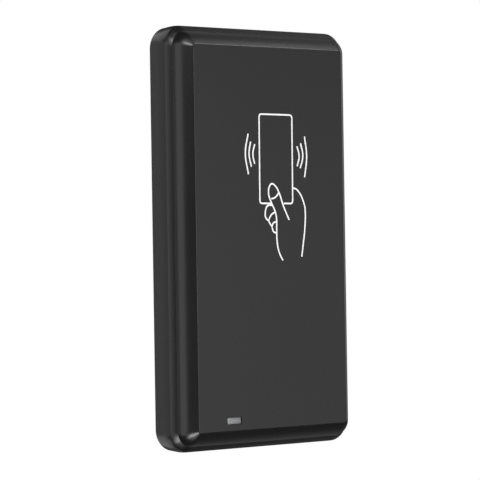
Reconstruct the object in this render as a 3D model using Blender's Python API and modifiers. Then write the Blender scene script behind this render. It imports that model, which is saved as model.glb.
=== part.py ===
"""Slim wall-mounted RFID card reader, modelled as the pieces it is assembled from.

The reader hangs on a mounting plate by four hooks and lifts off upwards. +Z is up and the front
faces -Y. The origin is on the wall face, the back of the mounting plate, half way up the case.
A depth is a distance behind the front face, so it grows towards the wall.
"""

import math

import bmesh
import bpy
from mathutils import Matrix

MM = 0.001

# Case
WIDTH = 66.0 * MM
HEIGHT = 120.0 * MM
RIM_WIDTH = 5.7 * MM  # from the faceplate opening to the widest outline
PANEL_CORNER_R = 0.7 * MM
COVER_SPREAD = 4.0 * MM  # how much of the rim belongs to the front cover
COVER_DEPTH = 4.5 * MM  # depth of the parting line
SHOULDER_DEPTH = 6.8 * MM  # depth where the flat side walls start
DRAFT = 0.25 * MM  # how far the side walls lean in at the back
SIDE_WALL_T = 2.0 * MM
SKIRT_T = 1.5 * MM
GAP = 0.3 * MM  # between neighbouring pieces

# Layers, from the front face to the wall
PANEL_T = 0.9 * MM
WEB_T = 1.6 * MM
FRONT_ROOM = 2.4 * MM
PCB_T = 1.2 * MM
REAR_ROOM = 3.3 * MM
FLOOR_T = 1.5 * MM
PLATE_T = 1.5 * MM
WALL_RELIEF = 0.2 * MM  # the case stops this far short of the wall

# Case screws and their towers
SCREW_INSET_X = 8.7 * MM  # from the case's sides
SCREW_INSET_Z = 10.0 * MM  # from its top and bottom
SCREW_D = 2.0 * MM
SCREW_HEAD_D = 4.0 * MM
SCREW_HEAD_T = 1.2 * MM
SCREW_LENGTH = 6.0 * MM
TOWER_D = 6.6 * MM
SPIGOT_D = 4.6 * MM
TOWER_SEAT_T = 1.2 * MM

# Hooks of the mounting plate
HOOK_WIDTH = 8.0 * MM
HOOK_T = 1.2 * MM
HOOK_LIP = 3.5 * MM
HOOK_LIP_T = 1.0 * MM
HOOK_X = 14.0 * MM
HOOK_TOP_INSET = 26.0 * MM  # from the case's top
HOOK_LOW_INSET = 17.0 * MM  # from its bottom
LIFT_TRAVEL = HOOK_LIP + 1.0 * MM
FIXING_SLOT_WIDTH = 3.8 * MM
FIXING_SLOT_LENGTH = 8.0 * MM
FIXING_HEAD_WIDTH = 7.4 * MM
FIXING_HEAD_T = 0.9 * MM
FIXING_INSET_X = 8.5 * MM  # from the case's sides
FIXING_Z = 20.0 * MM  # above and below the middle

# Status light
LED_INSET_X = 18.6 * MM  # from the case's left side
LED_RISE = 8.6 * MM  # from its bottom
LED_OPENING_W = 5.2 * MM
LED_OPENING_H = 2.0 * MM
LIGHT_PIPE_BORDER = 0.3 * MM  # how far the lens reaches behind the opening's edge
LIGHT_PIPE_FLANGE = 0.9 * MM
LIGHT_PIPE_FLANGE_T = 0.7 * MM
LED_SIZE = (3.5 * MM, 0.8 * MM, 2.8 * MM)

# Antenna
COIL_MARGIN_X = 4.6 * MM  # from the board's sides
COIL_MARGIN_TOP = 14.6 * MM
COIL_MARGIN_BOTTOM = 20.6 * MM
COIL_CORNER_R = 6.0 * MM
COIL_TURNS = 5
COIL_PITCH = 0.9 * MM
COIL_WIRE_D = 0.5 * MM
FERRITE_MARGIN = 1.5 * MM
FERRITE_T = 0.3 * MM

# Tamper switch
TAMPER_INSET = 16.0 * MM  # from the case's top
TAMPER_TRAVEL = 1.5 * MM
TAMPER_BODY = 8.0 * MM
TAMPER_BODY_T = 2.6 * MM
TAMPER_STEM_D = 3.0 * MM
TAMPER_FLANGE_D = 4.4 * MM
TAMPER_FLANGE_T = 0.6 * MM

# Terminal block and the way to it
TERMINAL_WAYS = 8
TERMINAL_PITCH = 2.54 * MM
TERMINAL_H = 7.5 * MM
TERMINAL_T = 2.6 * MM
TERMINAL_SCREW_D = 1.5 * MM
TERMINAL_SCREW_T = 0.8 * MM
TERMINAL_SCREW_RISE = 1.8 * MM  # screws above the block's middle, wire mouths below it
WIRE_MOUTH = 1.5 * MM
TERMINAL_RISE = 36.0 * MM  # above the case's bottom
PLATE_WINDOW_W = 30.0 * MM
PLATE_WINDOW_H = 22.0 * MM

# Blank rating label and the pry notch under the case
LABEL_W = 18.0 * MM
LABEL_H = 16.0 * MM
LABEL_T = 0.15 * MM
LABEL_Z = 14.0 * MM
LABEL_RECESS = 0.5 * MM
NOTCH_W = 7.0 * MM
NOTCH_DEEP = 0.5 * MM
NOTCH_T = 1.6 * MM

CORNER_SEGMENTS = 7
ROUND_SIDES = 24

# Worked out from the above
DEPTH = PANEL_T + GAP + WEB_T + FRONT_ROOM + PCB_T + REAR_ROOM + FLOOR_T + GAP + PLATE_T
WEB_FRONT = PANEL_T + GAP
WEB_BACK = WEB_FRONT + WEB_T
PCB_FRONT = WEB_BACK + FRONT_ROOM
PCB_BACK = PCB_FRONT + PCB_T
FLOOR_FRONT = PCB_BACK + REAR_ROOM
FLOOR_BACK = FLOOR_FRONT + FLOOR_T
PLATE_FRONT = FLOOR_BACK + GAP
CASE_BACK = DEPTH - WALL_RELIEF

OPENING_W = WIDTH - 2 * RIM_WIDTH
OPENING_H = HEIGHT - 2 * RIM_WIDTH
CORNER_R = PANEL_CORNER_R + RIM_WIDTH
SHOULDER_SPREAD = RIM_WIDTH - COVER_SPREAD
INNER_W = WIDTH - 2 * SIDE_WALL_T
INNER_H = HEIGHT - 2 * SIDE_WALL_T
INNER_R = CORNER_R - SIDE_WALL_T
SKIRT_W = INNER_W - 2 * GAP
SKIRT_H = INNER_H - 2 * GAP
SKIRT_R = INNER_R - GAP
ROOM_W = SKIRT_W - 2 * SKIRT_T
ROOM_H = SKIRT_H - 2 * SKIRT_T
ROOM_R = SKIRT_R - SKIRT_T
PCB_W = ROOM_W - 4 * GAP
PCB_H = ROOM_H - 4 * GAP
GASKET_T = 0.5 * MM
SKIRT_BACK = FLOOR_FRONT - GASKET_T - 2 * GAP
SCREW_HEAD_FRONT = FLOOR_BACK - GAP / 3 - SCREW_HEAD_T
SCREW_TIP = SCREW_HEAD_FRONT + SCREW_HEAD_T - SCREW_LENGTH
TOWER_FRONT = SCREW_HEAD_FRONT - GAP - TOWER_SEAT_T
SCREW_X = WIDTH / 2 - SCREW_INSET_X
SCREW_Z = HEIGHT / 2 - SCREW_INSET_Z
HOOK_TOP_Z = HEIGHT / 2 - HOOK_TOP_INSET
HOOK_LOW_Z = -HEIGHT / 2 + HOOK_LOW_INSET
FIXING_X = WIDTH / 2 - FIXING_INSET_X
LED_X = -WIDTH / 2 + LED_INSET_X
LED_Z = -HEIGHT / 2 + LED_RISE
TAMPER_Z = HEIGHT / 2 - TAMPER_INSET
TERMINAL_Z = -HEIGHT / 2 + TERMINAL_RISE
COIL_W = PCB_W - 2 * COIL_MARGIN_X
COIL_H = PCB_H - COIL_MARGIN_TOP - COIL_MARGIN_BOTTOM
ANTENNA_Z = (COIL_MARGIN_BOTTOM - COIL_MARGIN_TOP) / 2
CABLE_OPENING_W = TERMINAL_WAYS * TERMINAL_PITCH + 4 * GAP
CABLE_OPENING_H = TERMINAL_H + 4 * GAP

# (share of the cover's spread, share of its depth) of the turns of the front cover's rim, front
# to back, and the same for the shoulder between the parting line and the flat side walls
COVER_TURNS = ((0.0, 0.0), (0.48, 0.34), (0.76, 0.58), (0.93, 0.83), (1.0, 1.0))
SHOULDER_TURNS = ((0.0, 0.0), (0.60, 0.36), (0.86, 0.60), (1.0, 1.0))


def clear_scene():
    for obj in list(bpy.data.objects):
        bpy.data.objects.remove(obj, do_unlink=True)


def new_collection(name):
    collection = bpy.data.collections.new(name)
    bpy.context.scene.collection.children.link(collection)
    return collection


clear_scene()
PARTS = new_collection("rfid_card_reader")
CUTTERS = new_collection("cutters")


def y_at(depth):
    """The row's Y of a depth behind the front face."""
    return depth - DEPTH


def material(name, colour, roughness, metallic=0.0):
    made = bpy.data.materials.new(name)
    made.use_nodes = True
    shader = made.node_tree.nodes["Principled BSDF"]
    shader.inputs["Base Color"].default_value = (*colour, 1.0)
    shader.inputs["Roughness"].default_value = roughness
    shader.inputs["Metallic"].default_value = metallic
    return made


def place(name, bm, location, finish=None):
    """An object from a bmesh around its own origin: a part with a finish, a cutter without."""
    mesh = bpy.data.meshes.new(name)
    bm.to_mesh(mesh)
    bm.free()
    obj = bpy.data.objects.new(name, mesh)
    obj.location = location
    if finish is None:
        CUTTERS.objects.link(obj)
        obj.hide_render = True
        obj.display_type = "WIRE"
        return obj
    PARTS.objects.link(obj)
    mesh.materials.append(finish)
    return obj


def slab_mesh(width, height, radius, thickness):
    """A plate facing -Y, with round corners where radius isn't zero."""
    bm = bmesh.new()
    bmesh.ops.create_cube(bm, size=1.0)
    bmesh.ops.scale(bm, vec=(width, thickness, height), verts=bm.verts)
    if radius > 0:
        across = [e for e in bm.edges if abs(e.verts[0].co.y - e.verts[1].co.y) > thickness / 2]
        bmesh.ops.bevel(
            bm, geom=across, offset=radius, segments=CORNER_SEGMENTS, profile=0.5, affect="EDGES"
        )
    return bm


def end_face(bm, side):
    """The flat face at the front (side -1) or back (side 1) of a slab."""
    return max(bm.faces, key=lambda face: side * face.calc_center_median().y)


def step_face(bm, side, inset, rise):
    """Insets an end face evenly and pushes it out, which adds one ring of sloping faces."""
    face = end_face(bm, side)
    bmesh.ops.inset_region(bm, faces=[face], thickness=inset, depth=rise, use_even_offset=True)


def slab(name, width, height, radius, front, back, x=0.0, z=0.0, finish=None):
    bm = slab_mesh(width, height, radius, back - front)
    return place(name, bm, (x, y_at((front + back) / 2), z), finish)


def lay_along_y(bm):
    """Turns a shape made along +Z so that it lies along +Y."""
    bmesh.ops.rotate(bm, matrix=Matrix.Rotation(math.radians(-90), 3, "X"), verts=bm.verts)


def rod(name, diameter, front, back, x, z, finish=None, sides=ROUND_SIDES):
    """A cylinder along Y between two depths."""
    bm = bmesh.new()
    bmesh.ops.create_cone(
        bm, cap_ends=True, segments=sides, radius1=diameter / 2, radius2=diameter / 2,
        depth=back - front,
    )
    lay_along_y(bm)
    return place(name, bm, (x, y_at((front + back) / 2), z), finish)


def boolean(obj, other, operation):
    modifier = obj.modifiers.new(other.name, "BOOLEAN")
    modifier.object = other
    modifier.operation = operation
    modifier.solver = "EXACT"


def cut(obj, *cutters):
    for cutter in cutters:
        boolean(obj, cutter, "DIFFERENCE")


def join(obj, *others):
    for other in others:
        boolean(obj, other, "UNION")


def screw_places():
    return [
        (side_x * SCREW_X, side_z * SCREW_Z)
        for side_x in (-1, 1)
        for side_z in (-1, 1)
    ]


def hook_places():
    return [(side * HOOK_X, z) for side in (-1, 1) for z in (HOOK_TOP_Z, HOOK_LOW_Z)]


def soften(obj, width):
    """A small bevel on the sharp edges of a plain solid."""
    modifier = obj.modifiers.new("soft_edges", "BEVEL")
    modifier.width = width
    modifier.segments = 1
    modifier.limit_method = "ANGLE"
    modifier.angle_limit = math.radians(40)


# ---- finishes

shell_black = material("shell_black", (0.020, 0.020, 0.021), 0.38)
panel_black = material("panel_black", (0.022, 0.022, 0.022), 0.30)
plate_black = material("plate_black", (0.018, 0.018, 0.018), 0.55)
seal_rubber = material("seal_rubber", (0.035, 0.035, 0.035), 0.75)
pipe_clear = material("pipe_clear", (0.55, 0.56, 0.57), 0.20)
board_green = material("board_green", (0.010, 0.075, 0.030), 0.45)
coil_copper = material("coil_copper", (0.62, 0.26, 0.12), 0.30, 1.0)
ferrite_grey = material("ferrite_grey", (0.050, 0.048, 0.047), 0.60)
chip_black = material("chip_black", (0.015, 0.015, 0.016), 0.50)
can_metal = material("can_metal", (0.62, 0.62, 0.60), 0.28, 1.0)
inductor_grey = material("inductor_grey", (0.06, 0.06, 0.065), 0.55)
tantalum_yellow = material("tantalum_yellow", (0.55, 0.33, 0.05), 0.45)
ceramic_tan = material("ceramic_tan", (0.33, 0.22, 0.13), 0.45)
resistor_black = material("resistor_black", (0.03, 0.03, 0.035), 0.45)
led_white = material("led_white", (0.75, 0.75, 0.70), 0.40)
terminal_green = material("terminal_green", (0.03, 0.20, 0.07), 0.45)
screw_steel = material("screw_steel", (0.55, 0.55, 0.55), 0.30, 1.0)
switch_black = material("switch_black", (0.02, 0.02, 0.02), 0.45)
plunger_white = material("plunger_white", (0.65, 0.64, 0.60), 0.45)
label_silver = material("label_silver", (0.60, 0.60, 0.60), 0.45)


def build_front_panel():
    """Thin flat faceplate, let into the front cover."""
    panel = slab(
        "front_panel", OPENING_W - 2 * GAP, OPENING_H - 2 * GAP, PANEL_CORNER_R - GAP,
        0.0, PANEL_T, finish=panel_black,
    )
    opening = slab(
        "led_opening", LED_OPENING_W, LED_OPENING_H, 0.0, -MM, PANEL_T + MM, LED_X, LED_Z
    )
    cut(panel, opening)
    return panel


def build_front_cover():
    """Pillow-shaped front shell: rim, web behind the faceplate, skirt and screw bosses."""
    cover_w = OPENING_W + 2 * COVER_SPREAD
    cover_h = OPENING_H + 2 * COVER_SPREAD
    lip = GAP / 2  # a short straight edge at the parting line
    bm = slab_mesh(cover_w, cover_h, PANEL_CORNER_R + COVER_SPREAD, lip)
    for (spread_in, depth_in), (spread, depth) in zip(COVER_TURNS[-2::-1], COVER_TURNS[:0:-1]):
        step_face(bm, -1, (spread - spread_in) * COVER_SPREAD, (depth - depth_in) * (COVER_DEPTH - lip))
    cover = place("front_cover", bm, (0.0, y_at(COVER_DEPTH - lip / 2), 0.0), shell_black)

    skirt = slab("cover_skirt", SKIRT_W, SKIRT_H, SKIRT_R, COVER_DEPTH - MM, SKIRT_BACK)
    room = slab("cover_room", ROOM_W, ROOM_H, ROOM_R, WEB_BACK, DEPTH)
    recess = slab("panel_recess", OPENING_W, OPENING_H, PANEL_CORNER_R, -MM, WEB_FRONT)
    pipe_hole = slab(
        "light_pipe_hole", LED_OPENING_W + 2 * LIGHT_PIPE_BORDER + 2 * GAP,
        LED_OPENING_H + 2 * LIGHT_PIPE_BORDER + 2 * GAP, 0.0, WEB_FRONT - MM, WEB_BACK + MM,
        LED_X, LED_Z,
    )
    join(cover, skirt)
    cut(cover, room, recess, pipe_hole)
    for number, (x, z) in enumerate(screw_places(), 1):
        seat = rod(f"boss_seat_{number}", TOWER_D, WEB_BACK - MM / 2, PCB_FRONT - GAP, x, z)
        spigot = rod(
            f"boss_spigot_{number}", SPIGOT_D, WEB_BACK - MM / 4, TOWER_FRONT - GAP, x, z
        )
        hole_front = SCREW_TIP - 2 * GAP
        hole = rod(f"boss_hole_{number}", SCREW_D + 2 * GAP, hole_front, DEPTH, x, z)
        join(cover, seat, spigot)
        cut(cover, hole)
    return cover


def build_rear_cover():
    """Rear shell: rounded shoulder, drafted side walls, floor and a recess for the plate."""
    outer_lip = GAP
    bm = slab_mesh(WIDTH, HEIGHT, CORNER_R, outer_lip)
    shoulder_rise = SHOULDER_DEPTH - COVER_DEPTH - GAP
    spread_all = SHOULDER_SPREAD - GAP
    for (spread_in, depth_in), (spread, depth) in zip(
        SHOULDER_TURNS[-2::-1], SHOULDER_TURNS[:0:-1]
    ):
        step_face(bm, -1, (spread - spread_in) * spread_all, (depth - depth_in) * shoulder_rise)
    step_face(bm, 1, DRAFT, CASE_BACK - SHOULDER_DEPTH - outer_lip)
    cover = place("rear_cover", bm, (0.0, y_at(SHOULDER_DEPTH + outer_lip / 2), 0.0), shell_black)

    room = slab("case_room", INNER_W, INNER_H, INNER_R, 0.0, FLOOR_FRONT)
    recess = slab("plate_recess", INNER_W, INNER_H, INNER_R, FLOOR_BACK, DEPTH + MM)
    cut(cover, room, recess)
    for number, (x, z) in enumerate(screw_places(), 1):
        tower = rod(f"tower_{number}", TOWER_D, TOWER_FRONT, FLOOR_BACK - MM / 2, x, z)
        head_room = rod(
            f"head_room_{number}", SCREW_HEAD_D + 2 * GAP, SCREW_HEAD_FRONT - GAP, DEPTH, x, z
        )
        hole = rod(f"tower_hole_{number}", SCREW_D + 2 * GAP, TOWER_FRONT - MM, DEPTH, x, z)
        join(cover, tower)
        cut(cover, head_room, hole)
    for number, (x, z) in enumerate(hook_places(), 1):
        top = z + HOOK_T / 2 + GAP
        bottom = z - HOOK_T / 2 - LIFT_TRAVEL - GAP
        slot = slab(
            f"hook_slot_{number}", HOOK_WIDTH + 2 * GAP, top - bottom, 0.0,
            FLOOR_FRONT - MM, FLOOR_BACK + MM, x, (top + bottom) / 2,
        )
        cut(cover, slot)
    terminal_way = slab(
        "terminal_way", CABLE_OPENING_W, CABLE_OPENING_H, 0.0,
        FLOOR_FRONT - MM, FLOOR_BACK + MM, 0.0, TERMINAL_Z,
    )
    plunger_way = rod(
        "plunger_way", TAMPER_STEM_D + 2 * GAP, FLOOR_FRONT - MM, FLOOR_BACK + MM, 0.0, TAMPER_Z
    )
    label_recess = slab(
        "label_recess", LABEL_W + 2 * GAP, LABEL_H + 2 * GAP, 0.0,
        FLOOR_BACK - LABEL_RECESS, FLOOR_BACK + MM, 0.0, LABEL_Z,
    )
    notch_middle = SHOULDER_DEPTH - NOTCH_T / 2
    notch = slab(
        "pry_notch", NOTCH_W, 2 * NOTCH_DEEP, 0.0, notch_middle - NOTCH_T / 2,
        notch_middle + NOTCH_T / 2, 0.0, -HEIGHT / 2,
    )
    cut(cover, terminal_way, plunger_way, label_recess, notch)
    return cover


def build_mounting_plate():
    """Plate fixed to the wall: four hooks, four fixing slots, and a window for the cable."""
    top = INNER_H / 2 - GAP - WALL_RELIEF / 2
    bottom = -INNER_H / 2 + LIFT_TRAVEL + GAP + WALL_RELIEF / 2
    plate = slab(
        "mounting_plate", INNER_W - 2 * GAP - WALL_RELIEF, top - bottom, INNER_R - GAP,
        PLATE_FRONT, DEPTH, 0.0, (top + bottom) / 2, plate_black,
    )
    lip_back = FLOOR_FRONT - GAP
    lip_front = lip_back - HOOK_LIP_T
    for number, (x, z) in enumerate(hook_places(), 1):
        stem = slab(f"hook_stem_{number}", HOOK_WIDTH, HOOK_T, 0.0, lip_front, DEPTH - MM / 2, x, z)
        lip_height = HOOK_T / 2 + HOOK_LIP
        lip = slab(
            f"hook_lip_{number}", HOOK_WIDTH, lip_height, 0.0, lip_front, lip_back, x,
            z + lip_height / 2,
        )
        join(plate, stem, lip)
    window = slab(
        "plate_window", PLATE_WINDOW_W, PLATE_WINDOW_H, 0.0, PLATE_FRONT - MM, DEPTH + MM,
        0.0, TERMINAL_Z,
    )
    play = GAP + WALL_RELIEF / 2
    slot_height = TAMPER_STEM_D + 2 * play + LIFT_TRAVEL
    plunger_slot = slab(
        "plunger_slot", TAMPER_STEM_D + 2 * play, slot_height, 0.0, PLATE_FRONT - MM,
        DEPTH + MM, 0.0, TAMPER_Z + LIFT_TRAVEL / 2,
    )
    cut(plate, window, plunger_slot)
    for side in (-1, 1):
        for z in (FIXING_Z, -FIXING_Z):
            row = "top" if z > 0 else "low"
            slot = slab(
                f"fixing_slot_{row}_{side}", FIXING_SLOT_WIDTH, FIXING_SLOT_LENGTH,
                FIXING_SLOT_WIDTH * 0.49, PLATE_FRONT - MM, DEPTH + MM, side * FIXING_X, z,
            )
            head_room = slab(
                f"fixing_head_{row}_{side}", FIXING_HEAD_WIDTH,
                FIXING_SLOT_LENGTH + FIXING_HEAD_WIDTH - FIXING_SLOT_WIDTH,
                FIXING_HEAD_WIDTH * 0.49, PLATE_FRONT - MM, PLATE_FRONT + FIXING_HEAD_T,
                side * FIXING_X, z,
            )
            cut(plate, slot, head_room)
    return plate


def build_light_pipe():
    """Clear lens behind the faceplate's opening, with a flange behind the cover's web."""
    width = LED_OPENING_W + 2 * LIGHT_PIPE_BORDER
    height = LED_OPENING_H + 2 * LIGHT_PIPE_BORDER
    flange_front = WEB_BACK + GAP
    flange_back = flange_front + LIGHT_PIPE_FLANGE_T
    pipe = slab(
        "light_pipe", width, height, 0.0, WEB_FRONT, flange_back, LED_X, LED_Z, pipe_clear
    )
    flange = slab(
        "light_pipe_flange", width + 2 * LIGHT_PIPE_FLANGE, height + 2 * LIGHT_PIPE_FLANGE, 0.0,
        flange_front, flange_back - MM / 20, LED_X, LED_Z,
    )
    join(pipe, flange)
    return pipe


def build_main_pcb():
    """Circuit board, located by the bosses of the front cover."""
    board = slab("main_pcb", PCB_W, PCB_H, ROOM_R, PCB_FRONT, PCB_BACK, finish=board_green)
    for number, (x, z) in enumerate(screw_places(), 1):
        hole = rod(f"board_hole_{number}", SPIGOT_D + 2 * GAP, PCB_FRONT - MM, PCB_BACK + MM, x, z)
        cut(board, hole)
    return board


def rounded_turn(width, height, radius, shrink):
    """Points of one turn of a rectangular coil, drawn in by an even share of one pitch."""
    points = []
    steps = 4
    for corner in range(4):
        for step in range(steps + 1):
            share = (corner + step / (steps + 1)) / 4
            inset = shrink * share
            angle = math.radians(90 * corner + 90 * step / steps)
            centre_x = (width / 2 - radius) * (1 if corner in (0, 3) else -1)
            centre_z = (height / 2 - radius) * (1 if corner in (0, 1) else -1)
            reach = radius - inset
            points.append((centre_x + reach * math.cos(angle), centre_z + reach * math.sin(angle)))
    return points


def build_antenna_coil():
    """Enamelled copper wire, wound as a flat rectangular spiral."""
    path = []
    for turn in range(COIL_TURNS):
        taken = 2 * turn * COIL_PITCH
        radius = COIL_CORNER_R - turn * COIL_PITCH
        path += rounded_turn(COIL_W - taken, COIL_H - taken, radius, COIL_PITCH)
    curve = bpy.data.curves.new("antenna_coil", "CURVE")
    curve.dimensions = "3D"
    curve.bevel_depth = COIL_WIRE_D / 2
    curve.bevel_resolution = 0
    curve.use_fill_caps = True
    spline = curve.splines.new("POLY")
    spline.points.add(len(path) - 1)
    for point, (x, z) in zip(spline.points, path):
        point.co = (x, 0.0, z, 1.0)
    coil = bpy.data.objects.new("antenna_coil", curve)
    coil_depth = PCB_FRONT - GAP - FERRITE_T - GAP - COIL_WIRE_D / 2
    coil.location = (0.0, y_at(coil_depth), ANTENNA_Z)
    curve.materials.append(coil_copper)
    PARTS.objects.link(coil)
    return coil


def build_ferrite_sheet():
    return slab(
        "ferrite_sheet", COIL_W + 2 * FERRITE_MARGIN, COIL_H + 2 * FERRITE_MARGIN, COIL_CORNER_R,
        PCB_FRONT - GAP - FERRITE_T, PCB_FRONT - GAP, 0.0, ANTENNA_Z, ferrite_grey,
    )


def on_board(name, width, height, thickness, x, z, finish):
    """A component on the back of the board."""
    front = PCB_BACK + GAP
    part = slab(name, width, height, 0.0, front, front + thickness, x, z, finish)
    soften(part, 0.15 * MM)
    return part


# name, how many, size in mm (width, height, thickness), pitch, first X and Z in mm, finish
CHIP_ROWS = (
    ("bulk_capacitor", 2, (3.5, 2.8, 1.9), 5.0, 11.0, -6.0, tantalum_yellow),
    ("ceramic_capacitor", 4, (0.8, 1.6, 0.8), 2.2, -18.0, 4.0, ceramic_tan),
    ("chip_resistor", 4, (0.8, 1.6, 0.5), 2.2, -18.0, 20.0, resistor_black),
)


def build_components():
    width, thickness, height = LED_SIZE
    led_back = PCB_FRONT - GAP
    led = slab(
        "status_led", width, height, 0.0, led_back - thickness, led_back, LED_X, LED_Z, led_white
    )
    front = PCB_BACK + GAP
    made = [
        led,
        on_board("mcu_chip", 7.0 * MM, 7.0 * MM, 1.4 * MM, -14.0 * MM, 12.0 * MM, chip_black),
        on_board("reader_ic", 5.0 * MM, 5.0 * MM, 0.9 * MM, 2.0 * MM, 18.0 * MM, chip_black),
        on_board("crystal", 5.0 * MM, 3.2 * MM, 1.0 * MM, 2.0 * MM, 10.0 * MM, can_metal),
        on_board("voltage_regulator", 6.5 * MM, 3.5 * MM, 1.6 * MM, -15.0 * MM, -8.0 * MM, chip_black),
        on_board("power_inductor", 6.0 * MM, 6.0 * MM, 2.4 * MM, 0.0, -6.0 * MM, inductor_grey),
    ]
    sounder = rod("sounder", 12.0 * MM, front, front + 2.4 * MM, 15.0 * MM, 12.0 * MM, chip_black)
    sound_hole = rod("sound_hole", 2.0 * MM, front + 1.2 * MM, DEPTH, 15.0 * MM, 12.0 * MM)
    cut(sounder, sound_hole)
    made.append(sounder)

    for name, count, size, pitch, x, z, finish in CHIP_ROWS:
        wide, high, thick = (value * MM for value in size)
        for number in range(count):
            place_x = (x + number * pitch) * MM
            made.append(
                on_board(f"{name}_{number + 1}", wide, high, thick, place_x, z * MM, finish)
            )
    return made


def build_terminal_block():
    """Pluggable cable terminals, reached through the rear cover and the plate's window."""
    front = PCB_BACK + GAP
    back = front + TERMINAL_T
    length = TERMINAL_WAYS * TERMINAL_PITCH
    block = slab("terminal_block", length, TERMINAL_H, 0.0, front, back, 0.0, TERMINAL_Z, terminal_green)
    screw_front = back - TERMINAL_SCREW_T - GAP
    screws = []
    for way in range(TERMINAL_WAYS):
        x = (way - (TERMINAL_WAYS - 1) / 2) * TERMINAL_PITCH
        screw_z = TERMINAL_Z + TERMINAL_SCREW_RISE
        well = rod(
            f"terminal_well_{way + 1}", TERMINAL_SCREW_D + 2 * GAP, screw_front - GAP, DEPTH,
            x, screw_z, sides=12,
        )
        mouth = slab(
            f"wire_mouth_{way + 1}", WIRE_MOUTH, WIRE_MOUTH, 0.0, screw_front - GAP, DEPTH, x,
            TERMINAL_Z - TERMINAL_SCREW_RISE,
        )
        cut(block, well, mouth)
        screws.append(
            rod(
                f"terminal_screw_{way + 1}", TERMINAL_SCREW_D, screw_front,
                screw_front + TERMINAL_SCREW_T, x, screw_z, screw_steel, 12,
            )
        )
    return [block, *screws]


def build_tamper_switch():
    """Switch body with an open well, and the plunger that the rear cover keeps in it."""
    front = PCB_BACK + GAP
    back = front + TAMPER_BODY_T
    body = slab(
        "tamper_switch", TAMPER_BODY, TAMPER_BODY, 0.0, front, back, 0.0, TAMPER_Z, switch_black
    )
    well_front = FLOOR_FRONT - GAP - TAMPER_TRAVEL - TAMPER_FLANGE_T - GAP
    well = rod("tamper_well", TAMPER_FLANGE_D + 2 * GAP, well_front, DEPTH, 0.0, TAMPER_Z)
    cut(body, well)

    flange_front = well_front + GAP
    flange_back = flange_front + TAMPER_FLANGE_T
    tip = DEPTH - WALL_RELIEF / 2
    plunger = rod("tamper_plunger", TAMPER_STEM_D, flange_front, tip, 0.0, TAMPER_Z, plunger_white)
    flange = rod(
        "plunger_flange", TAMPER_FLANGE_D, flange_front + MM / 20, flange_back, 0.0, TAMPER_Z
    )
    join(plunger, flange)
    return body, plunger


def build_gasket():
    """Silicone ring between the front cover's skirt and the rear cover's floor."""
    front = SKIRT_BACK + GAP
    gasket = slab(
        "case_gasket", SKIRT_W, SKIRT_H, SKIRT_R, front, front + GASKET_T, finish=seal_rubber
    )
    inside = slab("gasket_inside", ROOM_W, ROOM_H, ROOM_R, front - MM, front + GASKET_T + MM)
    cut(gasket, inside)
    return gasket


def build_case_screws():
    """Four countersunk screws, driven from the back: a cone for the head on a plain shank."""
    middle = SCREW_HEAD_FRONT + SCREW_HEAD_T / 2
    screws = []
    for number, (x, z) in enumerate(screw_places(), 1):
        bm = bmesh.new()
        bmesh.ops.create_cone(
            bm, cap_ends=True, segments=16, radius1=SCREW_D / 2, radius2=SCREW_HEAD_D / 2,
            depth=SCREW_HEAD_T,
        )
        lay_along_y(bm)
        tip = min(bm.faces, key=lambda face: face.calc_center_median().y)
        grown = bmesh.ops.extrude_discrete_faces(bm, faces=[tip])["faces"][0]
        bmesh.ops.translate(
            bm, vec=(0.0, -(SCREW_LENGTH - SCREW_HEAD_T), 0.0), verts=list(grown.verts)
        )
        screws.append(place(f"case_screw_{number}", bm, (x, y_at(middle), z), screw_steel))
    return screws


def build_rating_label():
    """Blank label in a shallow recess on the back."""
    back = FLOOR_BACK - LABEL_T / 3
    return slab(
        "rating_label", LABEL_W, LABEL_H, 0.0, back - LABEL_T, back, 0.0, LABEL_Z, label_silver
    )


def keep_place_under(parent, child):
    child.parent = parent
    child.location = child.location - parent.location


def main():
    plate = build_mounting_plate()
    tamper_switch, tamper_plunger = build_tamper_switch()
    reader = [
        build_front_panel(), build_front_cover(), build_rear_cover(), build_light_pipe(),
        build_main_pcb(), build_antenna_coil(), build_ferrite_sheet(), build_gasket(),
        build_rating_label(), tamper_switch, *build_case_screws(), *build_components(),
        *build_terminal_block(),
    ]
    lift_axis = bpy.data.objects.new("reader_lift_axis", None)
    lift_axis.location = (0.0, y_at(FLOOR_FRONT), HOOK_TOP_Z)
    PARTS.objects.link(lift_axis)
    for piece in [*reader, tamper_plunger]:
        keep_place_under(lift_axis, piece)
    for piece in [plate, tamper_plunger, *reader]:
        if piece.type == "MESH":
            piece.data.shade_flat()


main()
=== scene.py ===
import math

import bmesh
import bpy
from mathutils import Matrix, Vector


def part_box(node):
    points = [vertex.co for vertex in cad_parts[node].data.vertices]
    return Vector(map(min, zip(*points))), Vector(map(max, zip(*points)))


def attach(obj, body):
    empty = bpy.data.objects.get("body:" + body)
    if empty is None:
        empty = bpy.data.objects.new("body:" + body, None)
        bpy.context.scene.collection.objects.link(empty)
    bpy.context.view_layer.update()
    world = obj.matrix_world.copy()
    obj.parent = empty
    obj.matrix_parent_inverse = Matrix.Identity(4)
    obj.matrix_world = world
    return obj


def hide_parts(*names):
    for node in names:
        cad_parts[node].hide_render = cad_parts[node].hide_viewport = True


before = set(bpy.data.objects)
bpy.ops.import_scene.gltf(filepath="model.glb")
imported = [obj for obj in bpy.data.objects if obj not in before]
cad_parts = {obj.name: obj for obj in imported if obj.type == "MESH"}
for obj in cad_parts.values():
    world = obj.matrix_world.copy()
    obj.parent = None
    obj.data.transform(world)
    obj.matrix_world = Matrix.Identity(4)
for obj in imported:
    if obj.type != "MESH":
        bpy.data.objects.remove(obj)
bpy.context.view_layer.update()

# ---- Camera
# A long lens about 0.7 m away, level with the reader and round to its left, so that the left
# wall, the rim and the whole face show.
CAMERA_AIM = Vector((-0.00698, -0.00734, -0.0005))
CAMERA_AZIMUTH = 39.0  # degrees round to the left of straight in front
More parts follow.
